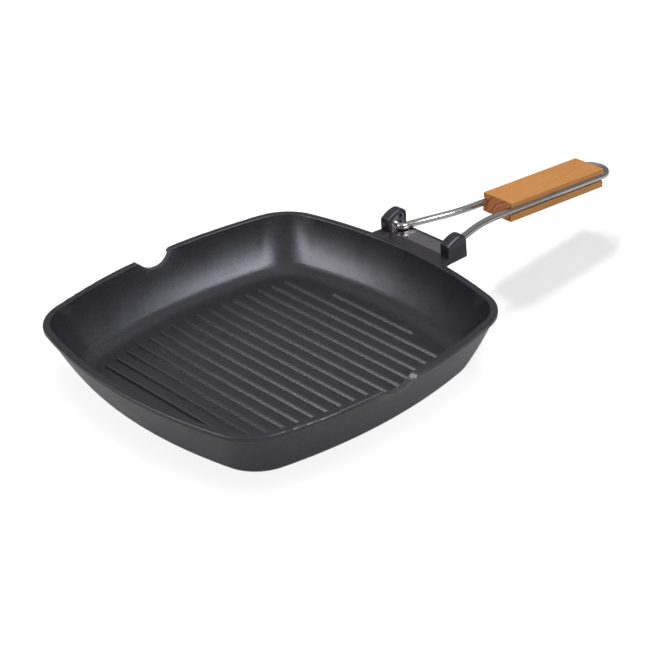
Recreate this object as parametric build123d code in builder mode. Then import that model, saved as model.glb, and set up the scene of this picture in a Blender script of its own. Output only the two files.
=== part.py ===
from build123d import *
import math
import os

# Square cast grill pan with a folding handle: one bent steel wire in a steel hinge bracket, and a wooden grip.
# Millimetres. The origin is the centre of the flat base, +X points to the handle and +Z up.

# Pan bowl
pan_height = 45.0
pan_half_width = 140.0
side_bow_radius = 390.0
rim_corner_radius = 40.0
rim_width = 5.5
rim_overhang = 2.0
rim_thickness = 3.0
rim_outer_round = 1.2
rim_inner_round = 0.8
base_half_width = 117.5
base_corner_radius = 35.0
floor_thickness = 4.0
floor_inset = 2.0
floor_corner_radius = 32.0
wall_belly = 1.2
floor_round = 14.0
base_round = 11.0

# Pouring notches in the two sides beside the handle
notch_width = 32.0
notch_depth = 9.0
notch_shoulder_radius = 5.0

# Grill ribs, square to the handle
rib_count = 18
rib_pitch = 11.6
rib_height = 1.7
rib_base_width = 3.4
rib_top_width = 1.6
rib_side_gap = 17.5
end_rib_half_length = 45.0

# Lug and ears of the casting, which carry the hinge
lug_reach = 25.5
lug_half_width = 37.5
lug_thickness = 4.5
lug_flare = 1.0
lug_rear_drop = 1.0
ear_start = 5.5
ear_rear_inset = 1.0
ear_front_height = 10.8
ear_top_height = 15.6
ear_rear_height = 12.2
ear_top_from_front = 13.0
ear_crown_radius = 6.0
ear_shell = 2.8
ear_outer_round = 3.0
ear_inner_round = 1.8
ear_corner_round = 0.8
gusset_thickness = 5.0
gusset_spacing = 60.0
gusset_depth = 14.0
gusset_hollow = 2.5
lug_corner_radius = 2.0
ear_arch = 0.09
boss_diameter = 13.0
boss_height = 2.5

# Hinge bracket, one folded steel strip
bracket_inner_width = 56.4
bracket_thickness = 1.8
bracket_clearance = 0.2
bracket_bend_round = 0.7
plate_drop = 0.5
pivot_height = 3.05
pivot_from_front = 6.8
spare_hole_diameter = 4.6
spare_hole_rise = 6.6
spare_hole_back = 2.6

# Studs, washers and cap nuts that hold the bracket from below
stud_diameter = 4.0
stud_clearance = 0.25
stud_spacing = 34.0
washer_diameter = 9.0
washer_thickness = 0.8
nut_across_flats = 7.0
nut_height = 3.2
nut_cap_height = 1.4
nut_cap_taper = 35.0
thread_clearance = 0.05

# Handle wire
wire_diameter = 5.5
wire_running_clearance = 0.05
ear_hole_clearance = 0.4
wire_end_reach = 6.0
leg_ear_gap = 1.25
end_bend_radius = 4.0
knee_from_pivot = 19.0
knee_half_gap = 22.0
knee_drop = 1.75
knee_bend_radius = 140.0
shoulder_from_pivot = 50.0
shoulder_drop = 2.65
shoulder_bend_radius = 120.0
grip_half_gap = 13.0
grip_slope = 4.55
straight_length = 150.0

# Wooden grip
grip_from_shoulder = 29.9
grip_length = 105.8
grip_width = 31.0
grip_thickness = 16.2
grip_drop = 0.5
grip_edge_round = 0.9
grip_end_chamfer = 0.4
groove_clearance = 0.08

# Places that follow from the sizes above
floor_top = floor_thickness
floor_half_width = base_half_width - floor_inset
rib_half_length = floor_half_width - rib_side_gap
lug_front = pan_half_width
lug_rear = lug_front + lug_reach
ear_front = lug_front + ear_start
ear_rear = lug_rear - ear_rear_inset
bracket_front = ear_front + ear_shell
bracket_rear = ear_rear - ear_shell
plate_top = pan_height - plate_drop
plate_bottom = plate_top - bracket_thickness
ear_inner_face = bracket_inner_width / 2
pivot_x = bracket_front + pivot_from_front
pivot_z = pan_height + pivot_height
lug_underside = pan_height - lug_thickness
boss_bottom = lug_underside - boss_height
stud_x = (bracket_front + bracket_rear) / 2
wire_radius = wire_diameter / 2
wire_end_y = ear_inner_face + wire_end_reach
leg_start_y = ear_inner_face - wire_radius - leg_ear_gap
shoulder_x = pivot_x + shoulder_from_pivot
shoulder_z = pivot_z - shoulder_drop
spare_hole_x = pivot_x + spare_hole_back
spare_hole_z = pivot_z + spare_hole_rise
stud_length = plate_bottom - boss_bottom + washer_thickness + nut_height - thread_clearance


def bowed_square(height, half_width, bow_radius, corner_radius):
    """A flat face at a height: a square with sides that bow outwards and rounded corners."""
    rise = bow_radius - half_width
    corner = (math.sqrt(2 * bow_radius**2 - rise**2) - rise) / 2
    side = (Vector(corner, -corner), Vector(half_width, 0), Vector(corner, corner))
    with BuildSketch(Plane.XY.offset(height)) as outline:
        with BuildLine():
            for turn in range(4):
                ThreePointArc(*(point.rotate(Axis.Z, 90 * turn) for point in side))
        make_face()
        fillet(outline.vertices(), corner_radius)
    return outline.sketch


def wall_sections(low, low_half, high, high_half, low_corner):
    """Three outlines from low to high, the middle one pushed out by the belly of the wall."""
    middle = (low + high) / 2
    middle_half = (low_half + high_half) / 2 + wall_belly
    inset = pan_half_width - high_half
    bow_shift = side_bow_radius - pan_half_width
    return [
        bowed_square(low, low_half, bow_shift + low_half, low_corner),
        bowed_square(middle, middle_half, bow_shift + middle_half, (low_corner + rim_corner_radius) / 2),
        bowed_square(high, high_half, bow_shift + high_half, rim_corner_radius - inset),
    ]


def make_cavity():
    """The hollow of the bowl, with its rounded floor edge, down to the floor."""
    rim_inner_half = pan_half_width - rim_width
    with BuildPart() as cavity:
        loft(wall_sections(floor_top, floor_half_width, pan_height, rim_inner_half, floor_corner_radius))
        fillet(cavity.edges().group_by(Axis.Z)[0], floor_round)
    return cavity.part


def rib_end(x):
    """Half length of the rib at x: the ends follow the bow of the pan's sides."""
    bow = side_bow_radius - math.sqrt(side_bow_radius**2 - x**2)
    return rib_half_length - bow


def add_ribs():
    """Low tapered ribs on the floor, the first and last ones short."""
    taper = math.degrees(math.atan2((rib_base_width - rib_top_width) / 2, rib_height))
    for number in range(rib_count):
        x = (number - (rib_count - 1) / 2) * rib_pitch
        is_end = number in (0, rib_count - 1)
        half_length = end_rib_half_length if is_end else rib_end(x)
        with BuildSketch(Plane.XY.offset(floor_top)) as rib_outline:
            with Locations((x, 0)):
                SlotOverall(2 * half_length, rib_base_width, rotation=90)
        extrude(rib_outline.sketch, amount=rib_height, taper=taper)


def make_bowl():
    """The cast bowl: wall, overhanging rim, ribs and the two pouring notches."""
    rim_bottom = pan_height - rim_thickness
    wall_half = pan_half_width - rim_overhang
    with BuildPart() as bowl:
        loft(wall_sections(0, base_half_width, rim_bottom, wall_half, base_corner_radius))
        fillet(bowl.edges().group_by(Axis.Z)[0], base_round)
        extrude(bowed_square(rim_bottom, pan_half_width, side_bow_radius, rim_corner_radius), rim_thickness)
        fillet(bowl.edges().group_by(Axis.Z)[-1], rim_outer_round)
        add(make_cavity(), mode=Mode.SUBTRACT)
        rim_face = bowl.faces().sort_by(Axis.Z)[-1]
        fillet(rim_face.inner_wires()[0].edges(), rim_inner_round)
        add_ribs()
        notch_radius = ((notch_width / 2) ** 2 + notch_depth**2) / (2 * notch_depth)
        with BuildSketch(Plane.XZ) as notch:
            with Locations((0, pan_height + notch_radius - notch_depth)):
                Circle(notch_radius)
            with Locations((0, pan_height)):
                Rectangle(2 * notch_width, 2 * notch_depth, align=(Align.CENTER, Align.MIN))
            shoulders = notch.vertices().filter_by_position(Axis.Y, pan_height - 0.1, pan_height + 0.1)
            fillet(shoulders.sort_by(Axis.X)[1:-1], notch_shoulder_radius)
        extrude(notch.sketch, pan_half_width + rim_width, both=True, mode=Mode.SUBTRACT)
    return bowl.part


def arch_point(start, end):
    """A point a little above the middle of the line from start to end."""
    return ((start[0] + end[0]) / 2, (start[1] + end[1]) / 2 + ear_arch * abs(end[0] - start[0]))


def ear_outline(inset, foot):
    """Side outline of a hinge ear, drawn in from the casting by an inset, standing on the height foot."""
    front = ear_front + inset
    rear = ear_rear - inset
    with BuildSketch(Plane.XZ) as outline:
        with BuildLine():
            head_front = (front, pan_height + ear_front_height - inset)
            head_top = (ear_front + ear_top_from_front, pan_height + ear_top_height - inset)
            head_rear = (rear, pan_height + ear_rear_height - inset)
            Polyline(head_rear, (rear, foot), (front, foot), head_front)
            ThreePointArc(head_front, arch_point(head_front, head_top), head_top)
            ThreePointArc(head_top, arch_point(head_top, head_rear), head_rear)
        make_face()
        fillet(outline.vertices().sort_by(Axis.Y)[-1], ear_crown_radius - inset)
    return outline.sketch


def extrude_ears(inset, foot, start, depth, mode=Mode.ADD):
    """Both ears in the current part, from the distance start to start + depth off the middle plane."""
    outline = ear_outline(inset, foot)
    for side in (-1, 1):
        face = outline.moved(Location((0, side * start, 0)))
        extrude(face, depth, dir=(0, side, 0), mode=mode)


def ear_edges(shape_kind, lowest):
    """Edges of the current part above the rim that are of one kind, with their middle above a height."""
    return edges().filter_by(shape_kind).filter_by(lambda edge: edge.center().Z > lowest)


def round_ears():
    """Rounds the top edges of the ears, more on the outside, and then their upright corners."""
    head = pan_height + ear_front_height
    outside = ear_edges(GeomType.CIRCLE, head).filter_by(lambda edge: abs(edge.center().Y) > lug_half_width - 0.1)
    fillet(outside, ear_outer_round)
    inside = ear_edges(GeomType.CIRCLE, head).filter_by(lambda edge: abs(edge.center().Y) < ear_inner_face + 0.1)
    fillet(inside, ear_inner_round)
    fillet(ear_edges(Axis.Z, pan_height), ear_corner_round)


def cross_holes(x, z, radius, start, depth):
    """A hole in each ear along Y, cut from the distance start off the middle plane."""
    for side in (-1, 1):
        with BuildSketch(Plane(origin=(x, side * start, z), z_dir=(0, side, 0))) as hole:
            Circle(radius)
        extrude(hole.sketch, depth, mode=Mode.SUBTRACT)


def add_lug():
    """The flat lug behind the rim, flared where it leaves the bowl, with its gussets and bosses."""
    wall_middle = pan_half_width - rim_width / 2 - rim_overhang
    flare_end = ear_front + ear_rear_inset
    with BuildSketch(Plane.XY.offset(lug_underside)) as lug:
        with BuildLine():
            Polyline(
                (wall_middle, -lug_half_width - lug_flare),
                (lug_front, -lug_half_width - lug_flare),
                (flare_end, -lug_half_width),
                (lug_rear, -lug_half_width),
                (lug_rear, lug_half_width),
                (flare_end, lug_half_width),
                (lug_front, lug_half_width + lug_flare),
                (wall_middle, lug_half_width + lug_flare),
                close=True,
            )
        make_face()
        fillet(lug.vertices().group_by(Axis.X)[-1], lug_corner_radius)
    extrude(lug.sketch, lug_thickness)
    with BuildSketch(Plane.XY.offset(lug_underside)) as bosses:
        with Locations((stud_x, 0)):
            with GridLocations(0, stud_spacing, 1, 2):
                Circle(boss_diameter / 2)
    extrude(bosses.sketch, -boss_height)
    wall_lean = gusset_depth * (pan_half_width - rim_overhang - base_half_width) / (pan_height - rim_thickness)
    foot = (wall_middle - wall_lean, lug_underside - gusset_depth)
    tip = (lug_rear - lug_thickness, lug_underside)
    hollow = ((foot[0] + tip[0]) / 2, (foot[1] + tip[1]) / 2 + gusset_hollow)
    with BuildSketch(Plane.XZ) as gusset:
        with BuildLine():
            ThreePointArc(foot, hollow, tip)
            Polyline(tip, (wall_middle, lug_underside), foot)
        make_face()
    for y in (-gusset_spacing / 2, gusset_spacing / 2):
        extrude(gusset.sketch.moved(Location((0, y, 0))), gusset_thickness / 2, both=True)


def cut_hinge_seat():
    """The recess for the bracket, the lower rear ledge, and the holes for studs and wire ends."""
    seat_half_width = ear_inner_face + bracket_thickness + bracket_clearance
    seat_front = bracket_front - bracket_clearance
    with BuildSketch(Plane.XY.offset(plate_bottom)) as seat:
        with Locations((seat_front, 0)):
            Rectangle(
                bracket_rear + bracket_clearance - seat_front,
                2 * seat_half_width,
                align=(Align.MIN, Align.CENTER),
            )
    extrude(seat.sketch, pan_height - plate_bottom, mode=Mode.SUBTRACT)
    with BuildSketch(Plane.XY.offset(pan_height - lug_rear_drop)) as ledge:
        with Locations((bracket_rear, 0)):
            Rectangle(lug_reach, 2 * ear_inner_face, align=(Align.MIN, Align.CENTER))
    extrude(ledge.sketch, 2 * lug_rear_drop, mode=Mode.SUBTRACT)
    pocket_depth = bracket_thickness + bracket_clearance
    extrude_ears(ear_shell - bracket_clearance, plate_bottom, ear_inner_face, pocket_depth, Mode.SUBTRACT)
    hole_depth = wire_end_reach + ear_hole_clearance
    cross_holes(pivot_x, pivot_z, wire_radius + ear_hole_clearance, ear_inner_face, hole_depth)
    with Locations((stud_x, 0, plate_bottom)):
        with GridLocations(0, stud_spacing, 1, 2):
            Hole(stud_diameter / 2 + stud_clearance, lug_thickness + boss_height)


def handle_points():
    """Corner points of the handle wire, from one pivot end round the loop to the other."""
    knee_x = pivot_x + knee_from_pivot
    slope = math.radians(grip_slope)
    loop_x = shoulder_x + straight_length * math.cos(slope)
    loop_z = shoulder_z - straight_length * math.sin(slope)
    half = [
        Vector(pivot_x, wire_end_y, pivot_z),
        Vector(pivot_x, leg_start_y, pivot_z),
        Vector(knee_x, knee_half_gap, pivot_z - knee_drop),
        Vector(shoulder_x, grip_half_gap, shoulder_z),
        Vector(loop_x, grip_half_gap, loop_z),
    ]
    return half + [Vector(point.X, -point.Y, point.Z) for point in reversed(half)]


os.makedirs("parts", exist_ok=True)


def save(piece, name):
    """Labels a finished piece and writes it."""
    piece.part.label = name
    export_step(piece.part, f"parts/{name}.step")


# Cast body: bowl, lug, ears, gussets and bosses in one piece
with BuildPart() as pan_body:
    add(make_bowl())
    add_lug()
    extrude_ears(0, lug_underside, ear_inner_face, lug_half_width - ear_inner_face)
    round_ears()
    cut_hinge_seat()
save(pan_body, "pan_body")

# Folded steel bracket: base plate and two upright ears with the wire's pivot holes
with BuildPart() as hinge_bracket:
    with BuildSketch(Plane.XY.offset(plate_bottom)) as plate:
        with Locations(((bracket_front + bracket_rear) / 2, 0)):
            Rectangle(bracket_rear - bracket_front, 2 * (ear_inner_face + bracket_thickness))
    extrude(amount=bracket_thickness)
    extrude_ears(ear_shell, plate_bottom, ear_inner_face, bracket_thickness)
    fold_edges = hinge_bracket.edges().filter_by(Axis.X).filter_by_position(Axis.Z, plate_top - 0.1, plate_top + 0.1)
    fillet(fold_edges, bracket_bend_round)
    outer_edges = hinge_bracket.edges().filter_by(Axis.X).group_by(Axis.Z)[0]
    fillet(outer_edges, bracket_bend_round)
    cross_holes(pivot_x, pivot_z, wire_radius + wire_running_clearance, ear_inner_face, bracket_thickness)
    cross_holes(spare_hole_x, spare_hole_z, spare_hole_diameter / 2, ear_inner_face, bracket_thickness)
save(hinge_bracket, "hinge_bracket")

# Two studs welded under the bracket's plate
with BuildPart() as bracket_studs:
    with BuildSketch(Plane.XY.offset(plate_bottom)):
        with Locations((stud_x, 0)):
            with GridLocations(0, stud_spacing, 1, 2):
                Circle(stud_diameter / 2)
    extrude(amount=-stud_length)
    chamfer(bracket_studs.edges().group_by(Axis.Z)[0], stud_diameter / 10)
save(bracket_studs, "bracket_studs")

# Washers under the lug's bosses
with BuildPart() as stud_washers:
    with BuildSketch(Plane.XY.offset(boss_bottom)):
        with Locations((stud_x, 0)):
            with GridLocations(0, stud_spacing, 1, 2):
                Circle(washer_diameter / 2)
                Circle(stud_diameter / 2 + stud_clearance, mode=Mode.SUBTRACT)
    extrude(amount=-washer_thickness)
save(stud_washers, "stud_washers")

# Cap nuts that hold the bracket down
with BuildPart() as cap_nuts:
    nut_top = boss_bottom - washer_thickness
    with BuildSketch(Plane.XY.offset(nut_top)):
        with Locations((stud_x, 0)):
            with GridLocations(0, stud_spacing, 1, 2):
                RegularPolygon(nut_across_flats / 2, 6, major_radius=False)
    extrude(amount=-nut_height)
    with BuildSketch(Plane.XY.offset(nut_top - nut_height)):
        with Locations((stud_x, 0)):
            with GridLocations(0, stud_spacing, 1, 2):
                Circle(nut_across_flats / 2)
    extrude(amount=-nut_cap_height, taper=nut_cap_taper)
    with Locations((stud_x, 0, nut_top)):
        with GridLocations(0, stud_spacing, 1, 2):
            Hole(stud_diameter / 2 + thread_clearance, nut_height)
save(cap_nuts, "cap_nuts")

# Handle wire, one bent piece from pivot end to pivot end
with BuildPart() as wire_handle:
    points = handle_points()
    loop_radius = grip_half_gap - 0.01
    bends = [end_bend_radius, knee_bend_radius, shoulder_bend_radius, loop_radius]
    with BuildLine() as wire_path:
        FilletPolyline(*points, radius=bends + bends[::-1])
    with BuildSketch(Plane(origin=points[0], z_dir=points[1] - points[0])):
        Circle(wire_radius)
    sweep()
    end_rims = wire_handle.edges().filter_by(GeomType.CIRCLE).sort_by(Axis.Y)
    chamfer([end_rims[0], end_rims[-1]], wire_diameter / 10)
save(wire_handle, "wire_handle")

# Wooden grip, a plank with a groove along each side for the wire
grip_axis = Plane(
    origin=(shoulder_x, 0, shoulder_z),
    x_dir=(0, 1, 0),
    z_dir=(math.cos(math.radians(grip_slope)), 0, -math.sin(math.radians(grip_slope))),
)
with BuildPart() as wood_grip:
    with BuildSketch(grip_axis.offset(grip_from_shoulder)) as grip_section:
        with Locations((0, -grip_drop)):
            Rectangle(grip_width, grip_thickness)
        groove_radius = wire_radius + groove_clearance
        for side in (-1, 1):
            with Locations((side * grip_half_gap, 0)):
                Circle(groove_radius, mode=Mode.SUBTRACT)
            with Locations((side * (grip_half_gap + grip_width / 2), 0)):
                Rectangle(grip_width, 2 * groove_radius, mode=Mode.SUBTRACT)
        by_side = grip_section.vertices().group_by(Axis.X)
        fillet(by_side[0] + by_side[-1], grip_edge_round)
    extrude(amount=grip_length)
    end_faces = wood_grip.faces().filter_by(grip_axis)
    chamfer(end_faces.edges(), grip_end_chamfer)
save(wood_grip, "wood_grip")
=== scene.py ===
import math

import bpy
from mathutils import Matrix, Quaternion, Vector

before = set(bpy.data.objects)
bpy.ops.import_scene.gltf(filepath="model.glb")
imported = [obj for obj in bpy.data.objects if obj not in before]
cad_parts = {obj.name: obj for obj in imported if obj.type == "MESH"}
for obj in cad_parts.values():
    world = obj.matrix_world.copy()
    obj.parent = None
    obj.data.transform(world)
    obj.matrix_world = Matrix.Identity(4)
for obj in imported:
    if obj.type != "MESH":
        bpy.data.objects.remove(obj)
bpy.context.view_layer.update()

# Camera, from the photograph's perspective: metres, degrees, and millimetres for lens and sensor
camera_place = Vector((-0.8506, -1.0915, 0.8195))
camera_aim = Vector((0.0689, 0.0232, 0.0))
camera_roll = 4.1
camera_lens = 122.45
camera_sensor = 36.0
camera_reach = 20.0

# Pan, in metres: the height of the rib tops, the height over which the walls are shaded
# as dished, and how deep that dish is
rib_top = 0.0057
dish_height = 0.052
dish_depth = 0.0028

# Wooden grip: its slope down from the hinge in degrees, and its growth rings per metre
grip_slope = 4.55
ring_density = 300.0

# Floor, in metres, and its glow to the camera: partial near the pan, where the shadow lies
floor_half_size = 4.0
floor_drop = 0.0003
floor_grey = 0.15
glow_near_radius = 0.55
glow_far_radius = 1.1
glow_near = 0.52
glow_far = 1.0

# Point that every lamp faces
lamp_aim = Vector((0.05, 0.0, 0.03))


class Nodes:
    """Short calls for the nodes of a material or of the world."""

    def __init__(self, owner):
        owner.use_nodes = True
        self.owner = owner
        self.tree = owner.node_tree

    def find(self, kind):
        return next(node for node in self.tree.nodes if node.type == kind)

    def feed(self, socket, value):
        """Links another node's output to the socket, or sets a constant on it."""
        if isinstance(value, bpy.types.NodeSocket):
            self.tree.links.new(value, socket)
        elif socket.type == "RGBA":
            socket.default_value = (*value, 1)
        else:
            socket.default_value = value

    def add(self, kind, inputs=None, **settings):
        node = self.tree.nodes.new("ShaderNode" + kind)
        for key, value in settings.items():
            setattr(node, key, value)
        for key, value in (inputs or {}).items():
            self.feed(node.inputs[key], value)
        return node

    def place(self, scale=(1, 1, 1), turn=(0, 0, 0)):
        """The point on the part, in metres, turned in degrees and then scaled."""
        point = self.add("TexCoord").outputs["Object"]
        angles = [math.radians(angle) for angle in turn]
        turned = self.add("Mapping", {"Vector": point, "Rotation": angles}).outputs["Vector"]
        return self.add("Mapping", {"Vector": turned, "Scale": scale}).outputs["Vector"]

    def geometry(self, output):
        return self.add("NewGeometry").outputs[output]

    def camera_ray(self):
        return self.add("LightPath").outputs["Is Camera Ray"]

    def split(self, vector, axis):
        return self.add("SeparateXYZ", {"Vector": vector}).outputs[axis]

    def noise(self, vector, scale=1.0, detail=2.0, roughness=0.5):
        inputs = {"Vector": vector, "Scale": scale, "Detail": detail, "Roughness": roughness}
        return self.add("TexNoise", inputs).outputs["Fac"]

    def ramp(self, source, stops):
        """Colours, or greys given as one number, at positions from 0 to 1."""
        node = self.add("ValToRGB", {"Fac": source})
        elements = node.color_ramp.elements
        while len(elements) < len(stops):
            elements.new(0.5)
        for element, (position, colour) in zip(elements, stops):
            element.position = position
            element.color = (*colour, 1) if isinstance(colour, tuple) else (colour, colour, colour, 1)
        return node.outputs["Color"]

    def span(self, source, low, high, to_low=0.0, to_high=1.0):
        inputs = {"Value": source, "From Min": low, "From Max": high, "To Min": to_low, "To Max": to_high}
        return self.add("MapRange", inputs).outputs["Result"]

    def math(self, operation, first, second=0.0):
        return self.add("Math", {0: first, 1: second}, operation=operation).outputs["Value"]

    def sum(self, first, second):
        return self.math("ADD", first, second)

    def product(self, first, second):
        return self.math("MULTIPLY", first, second)

    def mix(self, factor, first, second, blend="MIX"):
        inputs = {"Fac": factor, "Color1": first, "Color2": second}
        return self.add("MixRGB", inputs, blend_type=blend).outputs["Color"]

    def bump(self, height, distance, strength=1.0, below=None):
        inputs = {"Height": height, "Distance": distance, "Strength": strength}
        if below is not None:
            inputs["Normal"] = below
        return self.add("Bump", inputs).outputs["Normal"]

    def shade(self, **inputs):
        """Feeds the material's shader and gives the finished material."""
        shader = self.find("BSDF_PRINCIPLED")
        for key, value in inputs.items():
            self.feed(shader.inputs[key.replace("_", " ")], value)
        return self.owner


def material_nodes(name):
    return Nodes(bpy.data.materials.new(name))


def coating_material():
    """Dark satin non-stick coating: orange peel, speckle and flecks, with painted highlights lightening
    its sharp edges and rib tops.
    """
    t = material_nodes("pan_coating")
    point = t.place()
    cloud = t.noise(point, 38, 3, 0.55)
    base = t.mix(cloud, (0.054, 0.053, 0.065), (0.067, 0.066, 0.080))

    fleck = t.add("TexVoronoi", {"Vector": point, "Scale": 900.0}).outputs["Distance"]
    fleck = t.ramp(fleck, [(0.0, 1.0), (0.2, 0.0)])
    base = t.mix(t.product(fleck, 0.4), base, (0.2, 0.2, 0.23))

    speckle = t.ramp(t.noise(point, 1100, 2, 0.6), [(0.36, 0.62), (0.64, 1.0)])
    base = t.mix(1.0, base, speckle, "MULTIPLY")

    # Painted highlight: sharp edges, such as the rim's inner edge, are lightened in the base colour.
    edge_highlight = t.span(t.geometry("Pointiness"), 0.53, 0.62)
    base = t.mix(t.product(edge_highlight, 0.4), base, (0.17, 0.17, 0.175))

    height = t.split(point, "Z")
    # Painted highlight: the flat tops of the ribs are lightened into thin bright lines.
    above = t.span(height, rib_top - 0.0009, rib_top - 0.0001)
    below = t.span(height, rib_top + 0.0004, rib_top + 0.0001)
    level = t.span(t.split(t.geometry("Normal"), "Z"), 0.93, 0.97)
    rib_top_highlight = t.product(t.product(above, below), level)
    base = t.mix(t.product(rib_top_highlight, 0.2), base, (0.17, 0.168, 0.175))

    peel = t.noise(point, 1500, 3, 0.6)
    grit = t.noise(point, 5200, 2, 0.5)
    dish = t.math("POWER", t.span(height, 0.0, dish_height, -1.0, 1.0), 2.0)
    normal = t.bump(dish, dish_depth)
    normal = t.bump(peel, 0.0001, 0.7, normal)
    normal = t.bump(grit, 0.00001, 0.8, normal)
    rough = t.sum(t.span(cloud, 0.3, 0.7, 0.27, 0.33), t.span(grit, 0.3, 0.7, -0.03, 0.03))
    return t.shade(
        Base_Color=base, Roughness=rough, Normal=normal, Metallic=0.62, Specular_IOR_Level=0.5)


def steel_material(name, colour, roughness, grain_scale, grain_stretch=(1, 1, 1)):
    """Stainless steel with fine drawn or rolled grain and faint smears."""
    t = material_nodes(name)
    grain = t.noise(t.place(grain_stretch), grain_scale, 3, 0.6)
    smear = t.noise(t.place(), 90, 3, 0.5)
    tint = t.mix(t.span(smear, 0.35, 0.65), colour, tuple(0.9 * channel for channel in colour))
    rough = t.span(grain, 0.3, 0.7, roughness * 0.8, roughness * 1.2)
    rough = t.sum(rough, t.span(smear, 0.3, 0.7, 0.0, 0.05))
    return t.shade(Base_Color=tint, Metallic=1.0, Roughness=rough, Normal=t.bump(grain, 0.000004, 0.7))


def wood_material():
    """Oiled wood: rings as slanted layers, fibres and pores along the grip, darker end grain."""
    t = material_nodes("grip_wood")
    turn = (0, grip_slope, 0)
    point = t.place(turn=turn)
    warp = t.noise(t.place((9, 60, 60), turn))
    slant = t.sum(t.product(t.split(point, "Y"), 0.62), t.product(t.split(point, "Z"), 0.78))
    ring = t.sum(t.product(slant, ring_density), t.product(warp, 2.2))
    ring = t.math("PINGPONG", ring, 1.0)
    base = t.ramp(ring, [
        (0.0, (0.445, 0.190, 0.047)),
        (0.6, (0.47, 0.208, 0.056)),
        (1.0, (0.415, 0.168, 0.041)),
    ])

    fibre = t.noise(t.place((160, 1500, 1500), turn), 1.0, 4, 0.65)
    base = t.mix(t.span(fibre, 0.35, 0.65, 0.0, 0.5), base, (0.53, 0.265, 0.083))
    board = t.noise(t.place((14, 80, 80), turn))
    base = t.mix(t.span(board, 0.3, 0.7, 0.0, 0.35), base, (0.36, 0.14, 0.038))
    pores = t.noise(t.place((330, 2600, 2600), turn), 1.0, 1, 0.5)
    pores = t.ramp(pores, [(0.62, 0.0), (0.72, 1.0)])
    base = t.mix(t.product(pores, 0.6), base, (0.25, 0.085, 0.024))

    end_ring = t.ramp(ring, [
        (0.0, (0.38, 0.115, 0.026)),
        (0.5, (0.54, 0.195, 0.047)),
        (1.0, (0.20, 0.052, 0.014)),
    ])
    dots = t.noise(t.place((2400, 2400, 2400)))
    end_grain = t.mix(t.span(dots, 0.45, 0.7, 0.0, 0.55), end_ring, (0.17, 0.055, 0.02))
    slope = math.radians(grip_slope)
    grip_axis = (math.cos(slope), 0.0, -math.sin(slope))
    facing = t.add("VectorMath", {0: t.geometry("Normal"), 1: grip_axis}, operation="DOT_PRODUCT")
    end = t.ramp(t.math("ABSOLUTE", facing.outputs["Value"]), [(0.75, 0.0), (0.9, 1.0)])
    base = t.mix(end, base, end_grain)

    rough = t.sum(t.span(fibre, 0.3, 0.7, 0.42, 0.54), t.product(pores, 0.15))
    normal = t.bump(fibre, 0.00003, 0.7)
    return t.shade(Base_Color=base, Roughness=rough, Normal=normal, Specular_IOR_Level=0.4)


def dress(node, material):
    """Gives a node of the frame its finish."""
    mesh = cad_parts[node].data
    mesh.materials.clear()
    mesh.materials.append(material)


def link(thing):
    """Puts an object into the scene."""
    bpy.context.scene.collection.objects.link(thing)
    return thing


def aim(place, target):
    """The turn that points a camera or lamp from its place to the target."""
    return (target - place).to_track_quat("-Z", "Y")


def add_camera():
    """The camera that sees what the photograph shows."""
    data = bpy.data.cameras.new("camera")
    data.lens = camera_lens
    data.sensor_width = camera_sensor
    data.sensor_fit = "HORIZONTAL"
    data.clip_end = camera_reach
    camera = link(bpy.data.objects.new("camera", data))
    roll = Quaternion((0, 0, 1), -math.radians(camera_roll))
    camera.rotation_mode = "QUATERNION"
    camera.rotation_quaternion = aim(camera_place, camera_aim) @ roll
    camera.location = camera_place
    bpy.context.scene.camera = camera


def add_softbox(name, place, size, power, colour=(1, 1, 1), only_gloss=False):
    """A rectangular area lamp that faces the pan and gives either diffuse light or gloss."""
    data = bpy.data.lights.new(name, "AREA")
    data.shape = "RECTANGLE"
    data.size, data.size_y = size
    data.energy = power
    data.color = colour
    lamp = link(bpy.data.objects.new(name, data))
    lamp.location = place
    lamp.rotation_mode = "QUATERNION"
    lamp.rotation_quaternion = aim(Vector(place), lamp_aim)
    lamp.visible_diffuse = not only_gloss
    lamp.visible_glossy = only_gloss
    return lamp


def collect(name, things):
    """A collection that stays out of the scene and only names what a lamp is linked to."""
    collection = bpy.data.collections.new(name)
    for thing in things:
        collection.objects.link(thing)
    return collection


def add_handle_shadow(floor):
    """The lamp behind the handle, which lights the floor only and is shaded by the handle only."""
    lamp = add_softbox("shadow_softbox", (1.45, 1.5, 1.2), (0.35, 0.35), 290)
    handle = [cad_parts[node] for node in ("wire_handle", "wood_grip")]
    lamp.light_linking.receiver_collection = collect("shadow_floor", [floor])
    lamp.light_linking.blocker_collection = collect("shadow_makers", handle)


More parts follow.
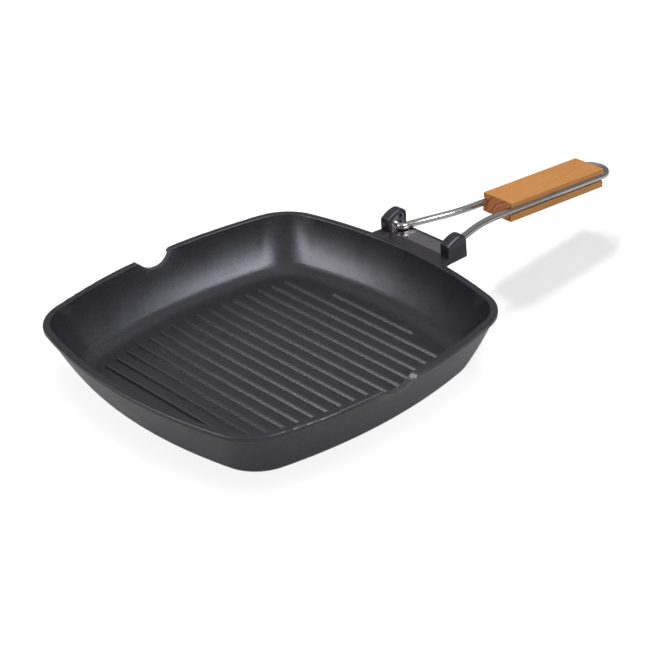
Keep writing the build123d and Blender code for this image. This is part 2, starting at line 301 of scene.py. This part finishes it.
def add_floor():
    """A plain floor that looks white to the camera and keeps the shadow."""
    signs = [(-1, -1), (1, -1), (1, 1), (-1, 1)]
    corners = [(x * floor_half_size, y * floor_half_size, 0) for x, y in signs]
    mesh = bpy.data.meshes.new("floor")
    mesh.from_pydata(corners, [], [(0, 1, 2, 3)])
    floor = link(bpy.data.objects.new("floor", mesh))
    floor.location.z = -floor_drop
    t = material_nodes("floor")
    radius = t.add("VectorMath", {0: t.place()}, operation="LENGTH").outputs["Value"]
    glow = t.span(radius, glow_near_radius, glow_far_radius, glow_near, glow_far)
    grey = (floor_grey, floor_grey, floor_grey)
    mesh.materials.append(t.shade(
        Base_Color=grey, Roughness=0.9, Emission_Color=(1, 1, 1),
        Emission_Strength=t.product(t.camera_ray(), glow)))
    return floor


def add_world():
    """White to the camera. To the part, a studio that is bright above and dim near the horizon."""
    world = bpy.data.worlds.new("studio")
    bpy.context.scene.world = world
    t = Nodes(world)
    height = t.split(t.add("TexCoord").outputs["Generated"], "Z")
    studio = t.ramp(height, [(0.15, (0.13, 0.128, 0.135)), (0.9, 0.48)])
    background = t.find("BACKGROUND")
    t.feed(background.inputs["Color"], t.mix(t.camera_ray(), studio, (1, 1, 1)))
    t.feed(background.inputs["Strength"], 1.0)


dress("pan_body", coating_material())
dress("hinge_bracket", steel_material("bracket_steel", (0.44, 0.42, 0.435), 0.16, 1.0, (3000, 60, 3000)))
fastener_steel = steel_material("fastener_steel", (0.66, 0.65, 0.64), 0.22, 900)
for node in ("bracket_studs", "stud_washers", "cap_nuts"):
    dress(node, fastener_steel)
dress("wire_handle", steel_material("wire_steel", (0.58, 0.57, 0.565), 0.17, 1.0, (40, 2600, 2600)))
dress("wood_grip", wood_material())

add_camera()
add_world()
add_handle_shadow(add_floor())
add_softbox("key_softbox", (0.1, -0.05, 1.5), (1.2, 1.2), 24)
add_softbox("fill_softbox", (-0.5, -1.2, 0.55), (0.9, 0.9), 9)
add_softbox("right_softbox", (0.29, -1.0, 0.86), (0.85, 0.52), 13, (0.95, 0.99, 1.0), only_gloss=True)
add_softbox("left_softbox", (-1.1, 0.36, 0.6), (1.05, 0.4), 11.5, (1.0, 0.99, 0.975), only_gloss=True)

bpy.context.scene.view_settings.view_transform = "Standard"
